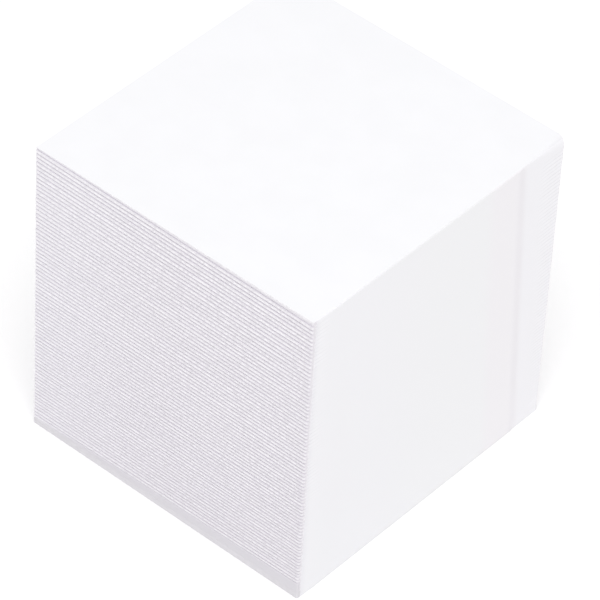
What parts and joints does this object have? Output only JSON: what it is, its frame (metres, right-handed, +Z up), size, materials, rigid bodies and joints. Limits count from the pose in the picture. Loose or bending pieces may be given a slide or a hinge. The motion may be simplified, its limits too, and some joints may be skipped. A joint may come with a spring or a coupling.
{
  "type": "memo cube",
  "caption": "Cube-shaped block of loose white note sheets, glued along one side on a thin plain backing board, with the cut edges of the sheets showing as fine grooves.",
  "frame": {"origin": "centre of the block's footprint, at the level of the surface that it stands on", "axes": "+Z up through the stack; the glued side faces +X; the side whose cut edges show in the picture faces -Y"},
  "size_m": [0.087, 0.09, 0.09],
  "materials": {
    "paper": "matt uncoated writing paper, cut edges in fine lots",
    "padding_glue": "satin, dried white padding glue",
    "board": "matt plain board"
  },
  "bodies": {
    "root": {"sheets": "paper", "glue_coat": "padding_glue", "backing_board": "board"}
  },
  "joints": []
}
